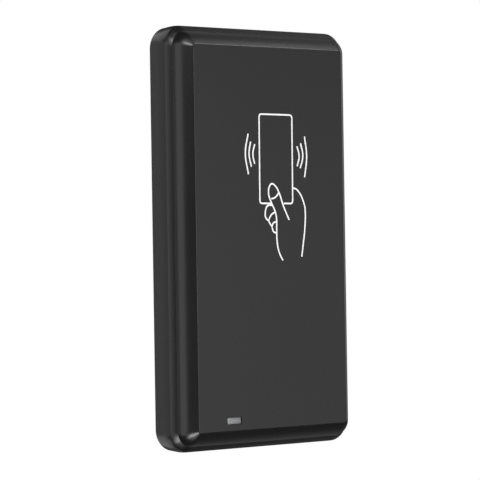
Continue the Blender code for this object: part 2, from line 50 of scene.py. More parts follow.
CAMERA_RISE = -0.12  # degrees above level
CAMERA_ROLL = -0.89  # degrees
CAMERA_DISTANCE = 0.694
CAMERA_SENSOR = 36.0  # mm wide
CAMERA_LENS = 182.5  # mm
CAMERA_NEAR = 0.01

camera_turn = (
    Matrix.Rotation(math.radians(-CAMERA_AZIMUTH), 4, "Z")
    @ Matrix.Rotation(math.radians(90.0 - CAMERA_RISE), 4, "X")
    @ Matrix.Rotation(math.radians(CAMERA_ROLL), 4, "Z")
)
bpy.ops.object.select_all(action="DESELECT")
bpy.ops.object.camera_add()
camera = bpy.context.object
camera.name = "camera"
camera.matrix_world = Matrix.Translation(
    CAMERA_AIM + camera_turn.to_3x3() @ Vector((0.0, 0.0, CAMERA_DISTANCE))
) @ camera_turn
camera.data.lens = CAMERA_LENS
camera.data.sensor_width = CAMERA_SENSOR
camera.data.clip_start = CAMERA_NEAR
bpy.context.scene.camera = camera

# ---- Studio light
# A room that is white behind the reader, and dim grey where it lights the black plastic or is
# mirrored in it. Large soft lights stand round the reader, each placed by where it stands, its
# size and how bright its face is.
BACKGROUND_WHITE = 1.0
ROOM_GREY = 0.06
LAMP_POWER = 4.0  # watts for a square metre of lamp face with a brightness of 1

bpy.context.scene.view_settings.view_transform = "Standard"


def add_node(tree, kind, settings=None, inputs=None):
    """One node with its settings and its inputs: a value, or another node's output."""
    made = tree.nodes.new(kind)
    for name, value in (settings or {}).items():
        setattr(made, name, value)
    for name, value in (inputs or {}).items():
        if isinstance(value, bpy.types.NodeSocket):
            tree.links.new(value, made.inputs[name])
        else:
            made.inputs[name].default_value = value
    return made


room = bpy.data.worlds.new("white_room")
bpy.context.scene.world = room
room.use_nodes = True
room.node_tree.nodes.clear()
seen_directly = add_node(room.node_tree, "ShaderNodeLightPath").outputs["Is Camera Ray"]
room_brightness = add_node(
    room.node_tree, "ShaderNodeMapRange", None,
    {"Value": seen_directly, "To Min": ROOM_GREY, "To Max": BACKGROUND_WHITE},
).outputs["Result"]
room_light = add_node(
    room.node_tree, "ShaderNodeBackground", None,
    {"Color": (1.0, 1.0, 1.0, 1.0), "Strength": room_brightness},
).outputs["Background"]
add_node(room.node_tree, "ShaderNodeOutputWorld", None, {"Surface": room_light})

# name: degrees to the left of straight in front, degrees up, metres away, width, height and
# brightness
SOFTBOXES = {
    "right_front_softbox": (-48.0, -6.0, 1.3, 1.1, 0.75, 0.48),
    "front_strip": (-14.0, 0.0, 1.2, 0.28, 1.1, 5.0),
    "left_softbox": (71.0, 0.0, 1.2, 0.82, 1.4, 0.92),
    "left_back_softbox": (124.0, 2.0, 1.3, 1.35, 1.3, 0.43),
    "back_softbox": (180.0, 4.0, 1.3, 0.6, 0.8, 2.2),
    "right_softbox": (-100.0, 12.0, 1.3, 0.9, 0.9, 0.34),
    "overhead_softbox": (-49.0, 46.0, 1.1, 0.63, 0.34, 3.3),
    "upper_right_softbox": (-112.0, 48.0, 1.1, 0.8, 0.4, 0.2),
    "upper_front_softbox": (5.0, 56.0, 1.1, 0.6, 0.3, 1.3),
    "upper_key": (34.0, 32.0, 1.0, 0.26, 0.36, 8.5),
    "upper_back_softbox": (162.0, 40.0, 1.1, 0.8, 0.5, 0.75),
    "lower_front_softbox": (5.0, -60.0, 0.42, 0.16, 0.12, 1.5),
    "lower_key": (33.0, -42.0, 0.48, 0.18, 0.2, 7.0),
    "lower_back_softbox": (162.0, -38.0, 0.45, 0.33, 0.2, 0.7),
    "lower_right_softbox": (-128.0, -48.0, 0.45, 0.4, 0.25, 0.13),
}
for name, (azimuth, rise, distance, width, height, brightness) in SOFTBOXES.items():
    turn = (
        Matrix.Rotation(math.radians(-azimuth), 4, "Z")
        @ Matrix.Rotation(math.radians(90.0 - rise), 4, "X")
    )
    bpy.ops.object.light_add(type="AREA")
    softbox = bpy.context.object
    softbox.name = name
    softbox.matrix_world = Matrix.Translation(
        turn.to_3x3() @ Vector((0.0, 0.0, distance))
    ) @ turn
    softbox.data.shape = "RECTANGLE"
    softbox.data.size = width
    softbox.data.size_y = height
    softbox.data.energy = LAMP_POWER * brightness * width * height
    softbox.visible_camera = False

# ---- Floor
# A pale painted floor, well below the reader, which hangs at its height on a wall.
FLOOR_DROP = 0.36
FLOOR_RADIUS = 0.95
FLOOR_SIDES = 96

bpy.ops.object.select_all(action="DESELECT")
bpy.ops.mesh.primitive_circle_add(
    vertices=FLOOR_SIDES, radius=FLOOR_RADIUS, fill_type="NGON",
    location=(0.0, 0.0, -FLOOR_DROP),
)
floor = bpy.context.object
floor.name = "floor"
bpy.ops.object.transform_apply(location=True, rotation=True, scale=True)


def linear(hex_colour):
    """An sRGB hex colour as the linear values that the shader takes."""
    shades = [int(hex_colour[i:i + 2], 16) / 255 for i in (0, 2, 4)]
    return (*[s / 12.92 if s <= 0.04045 else ((s + 0.055) / 1.055) ** 2.4 for s in shades], 1.0)


def new_material(name):
    """An empty material with its output, and the tree to build it in."""
    made = bpy.data.materials.new(name)
    made.use_nodes = True
    made.node_tree.nodes.clear()
    add_node(made.node_tree, "ShaderNodeOutputMaterial")
    return made, made.node_tree


def finish_material(tree, shader):
    """Links a shader to the material's output."""
    tree.links.new(shader.outputs["BSDF"], tree.nodes["Material Output"].inputs["Surface"])


# Matt floor paint: pale, with the faint unevenness of a rolled coat in patches about 0.3 m across.
floor_paint, tree = new_material("matt_floor_paint")
place = add_node(tree, "ShaderNodeTexCoord").outputs["Object"]
coat = add_node(tree, "ShaderNodeTexNoise", None, {"Vector": place, "Scale": 3.0, "Detail": 4.0})
paint_shade = add_node(
    tree, "ShaderNodeMix", {"data_type": "RGBA"},
    {"Factor": coat.outputs["Fac"], 6: linear("f4f4f3"), 7: linear("fafaf9")},
)
finish_material(tree, add_node(
    tree, "ShaderNodeBsdfPrincipled", None,
    {"Base Color": paint_shade.outputs[2], "Roughness": 0.8},
))
floor.data.materials.append(floor_paint)
floor.visible_glossy = False
floor.visible_diffuse = False

# ---- Front cover
# The pillow-shaped front shell, injection moulded in black ABS with a satin surface. Its rim
# frames the faceplate. A web, a skirt and four screw bosses stand behind it.
MM = 0.001
CASE_DEPTH = 13.0 * MM  # front face to the wall
OPENING_W = 54.6 * MM
OPENING_H = 108.6 * MM
OPENING_R = 0.7 * MM
COVER_SPREAD = 4.0 * MM
COVER_DEPTH = 4.5 * MM
COVER_LIP = 0.05 * MM
RIM_STEPS = 18
RIM_START_ANGLE = 36.5  # degrees from facing forwards, at the opening
RIM_TURN = 40.0  # how much further it has turned at the parting line
RIM_TURN_POWER = 2.4
CREST_ROUND = 0.12 * MM
CREST_STEPS = 3
PANEL_SEAT_DEPTH = 1.2 * MM
WEB_BACK = 2.8 * MM
SKIRT_INSET = 0.6 * MM
SKIRT_T = 1.5 * MM
SKIRT_BACK = 8.6 * MM
CORNER_STEPS = 20
BOSS_X = 24.3 * MM
BOSS_Z = 50.0 * MM
BOSS_PLACES = [(x * BOSS_X, z * BOSS_Z) for x in (-1, 1) for z in (-1, 1)]
BOSS_D = 6.6 * MM
BOSS_SEAT_BACK = 4.9 * MM
SPIGOT_D = 4.6 * MM
SPIGOT_BACK = 8.1 * MM
PILOT_D = 2.2 * MM
PILOT_FRONT = 4.5 * MM
LED_X = -14.4 * MM
LED_Z = -51.4 * MM
PIPE_HOLE_W = 6.2 * MM
PIPE_HOLE_H = 3.0 * MM
PIPE_HOLE_R = 0.3 * MM
PIPE_HOLE_FRONT = 0.5 * MM
SUNK = 0.3 * MM  # a shape that is joined on starts this far inside its neighbour
SAME_DEPTH = 0.01 * MM  # edges closer than this lie at one depth


def y_at(depth):
    """The Y of a depth behind the front face."""
    return depth - CASE_DEPTH


def select_nothing():
    """Leaves edit mode and deselects every object."""
    if bpy.context.object and bpy.context.object.mode == "EDIT":
        bpy.ops.object.mode_set(mode="OBJECT")
    bpy.ops.object.select_all(action="DESELECT")


def only(piece):
    """Leaves edit mode and makes a piece the one thing selected and active."""
    select_nothing()
    piece.select_set(True)
    bpy.context.view_layer.objects.active = piece


def add_block(name, low, high):
    """A cube primitive at its size and place, the only thing selected."""
    select_nothing()
    low, high = Vector(low), Vector(high)
    bpy.ops.mesh.primitive_cube_add(size=1.0, location=(low + high) / 2, scale=high - low)
    bpy.context.object.name = name
    bpy.ops.object.transform_apply(location=True, rotation=True, scale=True)
    return bpy.context.object


def choose(piece, kind, wanted):
    """In edit mode, selects the faces or edges whose middle and direction pass a test."""
    bpy.ops.mesh.select_mode(type=kind)
    bpy.ops.mesh.select_all(action="DESELECT")
    cage = bmesh.from_edit_mesh(piece.data)
    if kind == "FACE":
        for face in cage.faces:
            face.select_set(bool(wanted(face.calc_center_median(), face.normal)))
    else:
        for edge in cage.edges:
            start, end = (corner.co for corner in edge.verts)
            edge.select_set(bool(wanted((start + end) / 2, (end - start).normalized())))
    bmesh.update_edit_mesh(piece.data)


def rounded_slab(name, width, height, radius, front, back, x=0.0, z=0.0, steps=CORNER_STEPS):
    """A plate between two depths with its four corners rounded, left in edit mode."""
    slab = add_block(
        name, (x - width / 2, y_at(front), z - height / 2),
        (x + width / 2, y_at(back), z + height / 2),
    )
    bpy.ops.object.mode_set(mode="EDIT")
    if radius > 0.0:
        choose(slab, "EDGE", lambda middle, along: abs(along.y) > 0.99)
        bpy.ops.mesh.bevel(offset=radius, segments=steps, affect="EDGES", clamp_overlap=False)
    return slab


def push(distance):
    """Extrudes the selected faces along Y."""
    bpy.ops.mesh.extrude_region_move(TRANSFORM_OT_translate={"value": (0.0, distance, 0.0)})


def turning_steps(steps, start_angle, turn, spread, depth, power=1.0):
    """Runs and rises of a profile that turns from a start angle, from front to back."""
    angles = [math.radians(start_angle + turn * ((i + 0.5) / steps) ** power) for i in range(steps)]
    runs, rises = [math.cos(a) for a in angles], [math.sin(a) for a in angles]
    return [
        (run * spread / sum(runs), rise * depth / sum(rises)) for run, rise in zip(runs, rises)
    ]


def rod(name, diameter, front, back, x, z, sides=48):
    """A cylinder primitive between two depths, the only thing selected."""
    select_nothing()
    bpy.ops.mesh.primitive_cylinder_add(
        vertices=sides, radius=diameter / 2, depth=back - front,
        location=(x, y_at((front + back) / 2), z), rotation=(math.radians(90.0), 0.0, 0.0),
    )
    bpy.context.object.name = name
    bpy.ops.object.transform_apply(location=True, rotation=True, scale=True)
    return bpy.context.object


def gather(pieces):
    """Joins several meshes that don't touch into one."""
    only(pieces[0])
    for piece in pieces[1:]:
        piece.select_set(True)
    bpy.ops.object.join()
    return pieces[0]


def combine(piece, other, operation="DIFFERENCE"):
    """Cuts a piece by another, or joins the two into one solid, and removes the other."""
    only(piece)
    change = piece.modifiers.new("change", "BOOLEAN")
    change.object = other
    change.operation = operation
    change.solver = "EXACT"
    bpy.ops.object.modifier_apply(modifier=change.name)
    bpy.data.objects.remove(other, do_unlink=True)


front_cover = rounded_slab(
    "front_cover_shell", OPENING_W + 2 * COVER_SPREAD, OPENING_H + 2 * COVER_SPREAD,
    OPENING_R + COVER_SPREAD, COVER_DEPTH - COVER_LIP, COVER_DEPTH,
)
choose(front_cover, "FACE", lambda middle, normal: normal.y < -0.99)
rim = turning_steps(
    RIM_STEPS, RIM_START_ANGLE, RIM_TURN, COVER_SPREAD, COVER_DEPTH - COVER_LIP, RIM_TURN_POWER
)
for run, rise in reversed(rim):
    bpy.ops.mesh.inset(thickness=run, depth=rise, use_even_offset=True)
push(PANEL_SEAT_DEPTH)
choose(front_cover, "FACE", lambda middle, normal: normal.y > 0.99)
bpy.ops.mesh.inset(thickness=SKIRT_INSET, depth=0.0, use_even_offset=True)
push(SKIRT_BACK - COVER_DEPTH)
bpy.ops.mesh.inset(thickness=SKIRT_T, depth=0.0, use_even_offset=True)
push(WEB_BACK - SKIRT_BACK)
choose(
    front_cover, "EDGE",
    lambda middle, along: abs(middle.y - y_at(0.0)) < SAME_DEPTH and abs(along.y) < 0.5,
)
bpy.ops.mesh.bevel(
    offset=CREST_ROUND, segments=CREST_STEPS, affect="EDGES", clamp_overlap=False
)
for diameter, back in ((BOSS_D, BOSS_SEAT_BACK), (SPIGOT_D, SPIGOT_BACK)):
    combine(front_cover, gather([
        rod("boss", diameter, WEB_BACK - SUNK, back, x, z) for x, z in BOSS_PLACES
    ]), "UNION")
combine(front_cover, gather([
    rod("pilot_hole", PILOT_D, PILOT_FRONT, CASE_DEPTH, x, z) for x, z in BOSS_PLACES
]))
combine(front_cover, rounded_slab(
    "pipe_hole", PIPE_HOLE_W, PIPE_HOLE_H, PIPE_HOLE_R, PIPE_HOLE_FRONT, CASE_DEPTH, LED_X,
    LED_Z, steps=4,
))


def grained(name, shades, roughness, flow, grain, bump, ior=1.5, metallic=0.0):
    """A material whose colour and gloss drift over a flow length, with a fine grain on top."""
    made, tree = new_material(name)
    place = add_node(tree, "ShaderNodeTexCoord").outputs["Object"]
    drift = add_node(
        tree, "ShaderNodeTexNoise", None, {"Vector": place, "Scale": 1.0 / flow, "Detail": 3.0}
    ).outputs["Fac"]
    colour = add_node(
        tree, "ShaderNodeMix", {"data_type": "RGBA"},
        {"Factor": drift, 6: linear(shades[0]), 7: linear(shades[1])},
    ).outputs[2]
    gloss = add_node(
        tree, "ShaderNodeMapRange", None,
        {"Value": drift, "To Min": roughness[0], "To Max": roughness[1]},
    ).outputs["Result"]
    speckle = add_node(
        tree, "ShaderNodeTexNoise", None, {"Vector": place, "Scale": 1.0 / grain, "Detail": 1.0}
    ).outputs["Fac"]
    relief = add_node(
        tree, "ShaderNodeBump", None,
        {"Height": speckle, "Strength": 1.0, "Distance": bump},
    ).outputs["Normal"]
    shader = add_node(
        tree, "ShaderNodeBsdfPrincipled", None,
        {
            "Base Color": colour, "Roughness": gloss, "Normal": relief, "IOR": ior,
            "Metallic": metallic,
        },
    )
    finish_material(tree, shader)
    return made


def smooth(piece, angle=30.0):
    """Smooth shading, with edges sharper than the angle left crisp."""
    only(piece)
    bpy.ops.object.shade_smooth_by_angle(angle=math.radians(angle))


def deliver(piece, finish, body, slot, *stands_for):
    """Shades, paints and hands over a new piece: its body and its CAD nodes. The slot argument is
    not used.
    """
    smooth(piece)
    piece.data.materials.clear()
    piece.data.materials.append(finish)
    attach(piece, body)
    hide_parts(*stands_for)


# ABS moulded in a spark-eroded tool: near black, satin, with reflections that widen and narrow
# a little. The real grain of 0.1 mm is drawn at 0.35 mm so that it shows.
satin_abs = grained(
    "moulded_black_abs", ("131314", "151516"), (0.25, 0.30), 22 * MM, 0.35 * MM, 0.0008 * MM, 1.53
)
deliver(front_cover, satin_abs, "reader", "shell_black", "front_cover")

# ---- Rear cover
# The rear shell, injection moulded in the same black ABS. Its side walls swell a little and turn
# in to a rounded shoulder behind the rim. Four towers inside take the case screws, and the floor
# has ways through it for the plate's hooks, the cable and the tamper plunger.
SEAM = 0.04 * MM
CASE_W = 66.0 * MM
CASE_H = 120.0 * MM
CASE_R = 6.6 * MM
SHOULDER_STEPS = 5
SHOULDER_START_ANGLE = 40.0  # degrees from facing forwards
SHOULDER_TURN = 8.0
SHOULDER_RUN = 1.37 * MM
SHOULDER_RISE = 1.32 * MM
EDGE_STEPS = 5
EDGE_TURN = 30.0  # degrees, on from the shoulder's last angle
EDGE_RUN = 0.08 * MM
EDGE_RISE = 0.16 * MM
CROWN_STEPS = 6
CROWN_START_ANGLE = 80.0
CROWN_TURN = 10.0
CROWN_RUN = 0.23 * MM
CROWN_DEPTH = 8.8 * MM  # where the gently crowned side walls are widest
CROWN_BAND = 0.3 * MM  # how far they stay that wide
CASE_BACK = 12.8 * MM
DRAFT = 0.25 * MM
SIDE_WALL_T = 2.0 * MM
ROOM_FLOOR = 9.7 * MM
FLOOR_BACK = 11.2 * MM
TOWER_FRONT = 8.4 * MM
HEAD_ROOM_D = 4.6 * MM
HEAD_ROOM_FRONT = 9.6 * MM
SCREW_HOLE_D = 2.6 * MM
HOOK_X = 14.0 * MM
UPPER_HOOK_Z = 34.0 * MM
LOWER_HOOK_Z = -43.0 * MM
HOOK_PLACES = [(x * HOOK_X, z) for x in (-1, 1) for z in (UPPER_HOOK_Z, LOWER_HOOK_Z)]
HOOK_SLOT_W = 8.6 * MM
HOOK_SLOT_R = 0.4 * MM
HOOK_SLOT_TOP = 0.9 * MM  # above the hook's middle
HOOK_SLOT_BOTTOM = 5.4 * MM  # below it, room for the reader to lift
TERMINAL_Z = -24.0 * MM
TERMINAL_WAY_W = 21.52 * MM
TERMINAL_WAY_H = 8.7 * MM
TERMINAL_WAY_R = 0.6 * MM
TAMPER_Z = 44.0 * MM
PLUNGER_WAY_D = 3.6 * MM
LABEL_Z = 14.0 * MM
LABEL_RECESS_W = 18.6 * MM
LABEL_RECESS_H = 16.6 * MM
LABEL_RECESS_R = 0.8 * MM
LABEL_RECESS = 0.5 * MM
NOTCH_W = 7.0 * MM
NOTCH_R = 0.3 * MM
NOTCH_DEEP = 0.5 * MM
NOTCH_FRONT = 5.2 * MM
NOTCH_BACK = 6.8 * MM
CUT_PAST = 1.0 * MM  # a cutter runs this far past the face it goes through

rear_cover = rounded_slab(
    "rear_cover_shell", CASE_W, CASE_H, CASE_R, CROWN_DEPTH, CROWN_DEPTH + CROWN_BAND
)
choose(rear_cover, "FACE", lambda middle, normal: normal.y < -0.99)
shoulder = turning_steps(
    SHOULDER_STEPS, SHOULDER_START_ANGLE, SHOULDER_TURN, SHOULDER_RUN, SHOULDER_RISE
)
edge = turning_steps(
    EDGE_STEPS, SHOULDER_START_ANGLE + SHOULDER_TURN, EDGE_TURN, EDGE_RUN, EDGE_RISE
)
crown = turning_steps(
    CROWN_STEPS, CROWN_START_ANGLE, CROWN_TURN, CROWN_RUN,
    CROWN_DEPTH - COVER_DEPTH - SEAM - SHOULDER_RISE - EDGE_RISE,
)
for run, rise in reversed(shoulder + edge + crown):
    bpy.ops.mesh.inset(thickness=run, depth=rise, use_even_offset=True)
bpy.ops.mesh.inset(
    thickness=SIDE_WALL_T - SHOULDER_RUN - EDGE_RUN - CROWN_RUN, depth=0.0,
    use_even_offset=True,
)
push(ROOM_FLOOR - COVER_DEPTH - SEAM)
choose(rear_cover, "FACE", lambda middle, normal: normal.y > 0.99)
bpy.ops.mesh.inset(
    thickness=DRAFT, depth=CASE_BACK - CROWN_DEPTH - CROWN_BAND, use_even_offset=True
)
bpy.ops.mesh.inset(thickness=SIDE_WALL_T - DRAFT, depth=0.0, use_even_offset=True)
push(FLOOR_BACK - CASE_BACK)

combine(rear_cover, gather([
    rod("tower", BOSS_D, TOWER_FRONT, ROOM_FLOOR + SUNK, x, z) for x, z in BOSS_PLACES
]), "UNION")
combine(rear_cover, gather([
    rod("head_room", HEAD_ROOM_D, HEAD_ROOM_FRONT, CASE_DEPTH, x, z) for x, z in BOSS_PLACES
]))
combine(rear_cover, gather([
    rod("screw_hole", SCREW_HOLE_D, TOWER_FRONT - CUT_PAST, CASE_DEPTH, x, z)
    for x, z in BOSS_PLACES
]))
openings = [
    rounded_slab(
        "hook_slot", HOOK_SLOT_W, HOOK_SLOT_TOP + HOOK_SLOT_BOTTOM, HOOK_SLOT_R,
        ROOM_FLOOR - CUT_PAST, FLOOR_BACK + CUT_PAST, x,
        z + (HOOK_SLOT_TOP - HOOK_SLOT_BOTTOM) / 2, steps=4,
    )
    for x, z in HOOK_PLACES
]
openings.append(rounded_slab(
    "terminal_way", TERMINAL_WAY_W, TERMINAL_WAY_H, TERMINAL_WAY_R, ROOM_FLOOR - CUT_PAST,
    FLOOR_BACK + CUT_PAST, 0.0, TERMINAL_Z, steps=4,
))
openings.append(rod(
    "plunger_way", PLUNGER_WAY_D, ROOM_FLOOR - CUT_PAST, FLOOR_BACK + CUT_PAST, 0.0, TAMPER_Z
))
openings.append(rounded_slab(
    "label_recess", LABEL_RECESS_W, LABEL_RECESS_H, LABEL_RECESS_R, FLOOR_BACK - LABEL_RECESS,
    FLOOR_BACK + CUT_PAST, 0.0, LABEL_Z, steps=4,
))
openings.append(rounded_slab(
    "pry_notch", NOTCH_W, 2 * NOTCH_DEEP, NOTCH_R, NOTCH_FRONT, NOTCH_BACK, 0.0, -CASE_H / 2,
    steps=4,
))
combine(rear_cover, gather(openings))
deliver(rear_cover, satin_abs, "reader", "shell_black", "rear_cover")

# ---- Front panel
# The flat faceplate: moulded ABS faced with a black film, let into the front cover with a
# hairline gap round it. A small opening at the lower left shows the light pipe.
PANEL_GAP = 0.04 * MM
PANEL_T = 0.9 * MM
PANEL_SLOPE_RUN = 0.16 * MM  # the faceplate's edge slopes back a little
PANEL_SLOPE_RISE = 0.035 * MM
PANEL_ROUND = 0.07 * MM
PANEL_CRISP_ANGLE = 40.0
LED_OPENING_W = 5.2 * MM
LED_OPENING_H = 2.0 * MM
LED_OPENING_R = 0.15 * MM


def soften(piece, width, segments=2, angle=50.0):
    """Rounds a piece's sharp edges a little."""
    only(piece)
    rounding = piece.modifiers.new("rounding", "BEVEL")
    rounding.width = width
    rounding.segments = segments
    rounding.limit_method = "ANGLE"
    rounding.angle_limit = math.radians(angle)
    bpy.ops.object.modifier_apply(modifier=rounding.name)


panel = rounded_slab(
    "front_panel_plate", OPENING_W - 2 * PANEL_GAP, OPENING_H - 2 * PANEL_GAP,
    OPENING_R - PANEL_GAP, PANEL_SLOPE_RISE, PANEL_T,
)
choose(panel, "FACE", lambda middle, normal: normal.y < -0.99)
bpy.ops.mesh.inset(thickness=PANEL_SLOPE_RUN, depth=PANEL_SLOPE_RISE, use_even_offset=True)
combine(panel, rounded_slab(
    "led_opening", LED_OPENING_W, LED_OPENING_H, LED_OPENING_R, -CUT_PAST, PANEL_T + CUT_PAST,
    LED_X, LED_Z, steps=3,
))
soften(panel, PANEL_ROUND)
smooth(panel, PANEL_CRISP_ANGLE)
even_shading = panel.modifiers.new("even_shading", "WEIGHTED_NORMAL")
even_shading.keep_sharp = True
even_shading.weight = 100  # the largest faces set the shading, so the flat stays flat
bpy.ops.object.modifier_apply(modifier=even_shading.name)

# In-mould film over ABS: near black, an even satin with a finer grain than the covers', drawn at
# 0.25 mm so that it shows.
satin_film = grained(
    "satin_faceplate_film", ("131314", "141415"), (0.26, 0.29), 30 * MM, 0.25 * MM, 0.0006 * MM,
    1.53,
)
panel.data.materials.append(satin_film)
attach(panel, "reader")
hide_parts("front_panel")

# ---- Printed symbol
# A plain sign on the faceplate: a hand that holds up a card, between two sets of waves. It is pad
# printed in white ink, and the print sits a trace askew. Its lines are given in millimetres across
# and up from the middle of the face: straight ones for the card, smooth ones for the rest.
INK_WIDTH = 0.47 * MM
INK_T = 0.03 * MM
INK_CURVE_STEPS = 10
WELD_DISTANCE = 0.001 * MM
PRINT_TILT = -0.35  # degrees, about the top of the card
CARD_TOP = 35.2 * MM
SYMBOL_CRISP_ANGLE = 60.0
CARD_OUTLINE = (
    (4.9, 9.8), (7.6, 9.8), (8.1, 10.0), (8.3, 10.5), (8.3, 34.5), (8.1, 35.0), (7.6, 35.2),
    (-3.2, 35.2), (-3.7, 35.0), (-3.9, 34.5), (-3.9, 10.5), (-3.7, 10.0), (-3.2, 9.8), (0.5, 9.8),
)
WAVES_AND_HAND = (
    ((-8.0, 29.5), (-9.05, 24.0), (-8.0, 18.0)),
    ((-7.1, 27.3), (-7.7, 23.8), (-6.9, 20.2)),
    ((-5.6, 26.6), (-6.3, 23.8), (-5.7, 21.0)),
    ((10.1, 26.3), (10.9, 23.4), (10.1, 20.5)),
    ((11.5, 27.2), (12.3, 23.5), (11.3, 20.0)),
    ((13.0, 29.2), (13.75, 23.4), (12.9, 17.4)),
    ((6.9, 5.1), (4.7, 9.3), (3.2, 12.9), (1.6, 15.0), (0.6, 15.4), (-0.3, 14.7), (-0.7, 13.1),
     (-0.4, 11.5), (0.3, 10.1), (2.0, 6.6), (2.2, 1.7), (2.3, -1.0), (3.0, -4.1), (4.4, -6.5)),
    ((0.3, 11.1), (1.7, 11.5), (3.2, 12.9)),
    ((0.5, 9.3), (-1.1, 9.1), (-2.0, 6.8), (-1.8, 5.7), (-0.8, 4.8)),
    ((-0.8, 4.9), (0.2, 6.5), (1.5, 7.3)),
    ((-0.72, 4.73), (0.4, 3.2)),
    ((0.48, 3.28), (1.0, 4.2), (2.0, 4.6)),
    ((0.45, 3.08), (1.1, 1.7), (1.9, 1.4)),
    ((8.4, 14.3), (9.9, 13.8), (12.7, 9.4), (13.0, 7.4), (12.8, 3.0), (11.5, -5.5)),
)

select_nothing()
bpy.ops.curve.primitive_bezier_curve_add()
symbol = bpy.context.object
symbol.name = "printed_symbol"
symbol.data.splines.clear()
symbol.data.dimensions = "3D"
symbol.data.bevel_depth = INK_WIDTH / 2
symbol.data.bevel_resolution = 2
symbol.data.use_fill_caps = True
symbol.data.resolution_u = INK_CURVE_STEPS
for points, handles in [(line, "AUTO") for line in WAVES_AND_HAND] + [(CARD_OUTLINE, "VECTOR")]:
    spline = symbol.data.splines.new("BEZIER")
    spline.bezier_points.add(len(points) - 1)
    for knot, (x, z) in zip(spline.bezier_points, points):
        knot.co = (x * MM, 0.0, z * MM)
        knot.handle_left_type = handles
        knot.handle_right_type = handles
bpy.ops.object.convert(target="MESH")
symbol = bpy.context.object
bpy.ops.object.mode_set(mode="EDIT")
bpy.ops.mesh.select_all(action="SELECT")
bpy.ops.mesh.remove_doubles(threshold=WELD_DISTANCE)
bpy.ops.transform.resize(
    value=(1.0, 2 * INK_T / INK_WIDTH, 1.0), center_override=(0.0, 0.0, 0.0)
)
bpy.ops.transform.rotate(
    value=math.radians(PRINT_TILT), orient_axis="Y", center_override=(0.0, 0.0, CARD_TOP)
)
bpy.ops.transform.translate(value=(0.0, y_at(0.0), 0.0))
bpy.ops.object.mode_set(mode="OBJECT")
smooth(symbol, SYMBOL_CRISP_ANGLE)

# White pad-printing ink: dense and matt, with the slight mottle of a thin printed film. The
# mottle of a few hundredths of a millimetre is drawn at 0.12 mm.
ink = grained(
    "white_pad_print", ("f0f0f0", "f9f9f9"), (0.45, 0.55), 1.5 * MM, 0.12 * MM, 0.0006 * MM
)
symbol.data.materials.append(ink)
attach(symbol, "reader")

# ---- Light pipe
# A small lens of frosted polycarbonate that stands in the faceplate's opening. Its flange rests
# behind the front cover's web, over the status light.
LENS_H = 1.84 * MM
LENS_FRONT = 0.45 * MM
LENS_ROUND = 0.06 * MM
PIPE_W = 5.8 * MM
PIPE_H = 2.6 * MM
PIPE_FRONT = 1.25 * MM
FLANGE_W = 7.6 * MM
FLANGE_H = 4.4 * MM
FLANGE_FRONT = 3.1 * MM
FLANGE_BACK = 3.8 * MM
RIB_PITCH = 0.4 * MM
WAVE_RATE = 20  # the wave texture runs through 20 radians for each unit of its scale

light_pipe = rounded_slab(
    "light_pipe_lens", FLANGE_W, FLANGE_H, 0.0, FLANGE_FRONT, FLANGE_BACK, LED_X, LED_Z
)
choose(light_pipe, "FACE", lambda middle, normal: normal.y < -0.99)
bpy.ops.mesh.inset(thickness=(FLANGE_W - PIPE_W) / 2, depth=0.0, use_even_offset=True)
push(PIPE_FRONT - FLANGE_FRONT)
bpy.ops.mesh.inset(thickness=(PIPE_H - LENS_H) / 2, depth=0.0, use_even_offset=True)
push(LENS_FRONT - PIPE_FRONT)
soften(light_pipe, LENS_ROUND)

# Frosted polycarbonate, moulded against a ribbed insert: an unlit milky grey with a faint haze,
# and the fine upright ribs of a spreading lens, which break its reflection into lines.
frosted, tree = new_material("frosted_polycarbonate")
place = add_node(tree, "ShaderNodeTexCoord").outputs["Object"]
ribs = add_node(
    tree, "ShaderNodeTexWave", {"bands_direction": "X", "wave_profile": "SIN"},
    {"Vector": place, "Scale": 2 * math.pi / WAVE_RATE / RIB_PITCH},
).outputs["Fac"]
rib_relief = add_node(
    tree, "ShaderNodeBump", None, {"Height": ribs, "Strength": 1.0, "Distance": 0.01 * MM}
).outputs["Normal"]
haze = add_node(
    tree, "ShaderNodeTexNoise", None, {"Vector": place, "Scale": 1.0 / (1.2 * MM), "Detail": 2.0}
).outputs["Fac"]
haze_shade = add_node(
    tree, "ShaderNodeMix", {"data_type": "RGBA"},
    {"Factor": haze, 6: linear("6f7072"), 7: linear("88898a")},
).outputs[2]
frosted_shader = add_node(
    tree, "ShaderNodeBsdfPrincipled", None,
    {"Base Color": haze_shade, "Roughness": 0.32, "IOR": 1.58, "Normal": rib_relief},
)
finish_material(tree, frosted_shader)
deliver(light_pipe, frosted, "reader", "pipe_clear", "light_pipe")

# ---- Status light
# A surface-mount LED behind the light pipe, reflow soldered to the board: a moulded white frame
# round a window of yellow phosphor.
LED_WINDOW = 1.1 * MM
LED_WINDOW_EDGE = 0.92  # where the phosphor's edge begins, as a share of the window


def paint(finish, *nodes):
    """Gives CAD nodes a material."""
    for node in nodes:
        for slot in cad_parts[node].material_slots:
            slot.material = finish


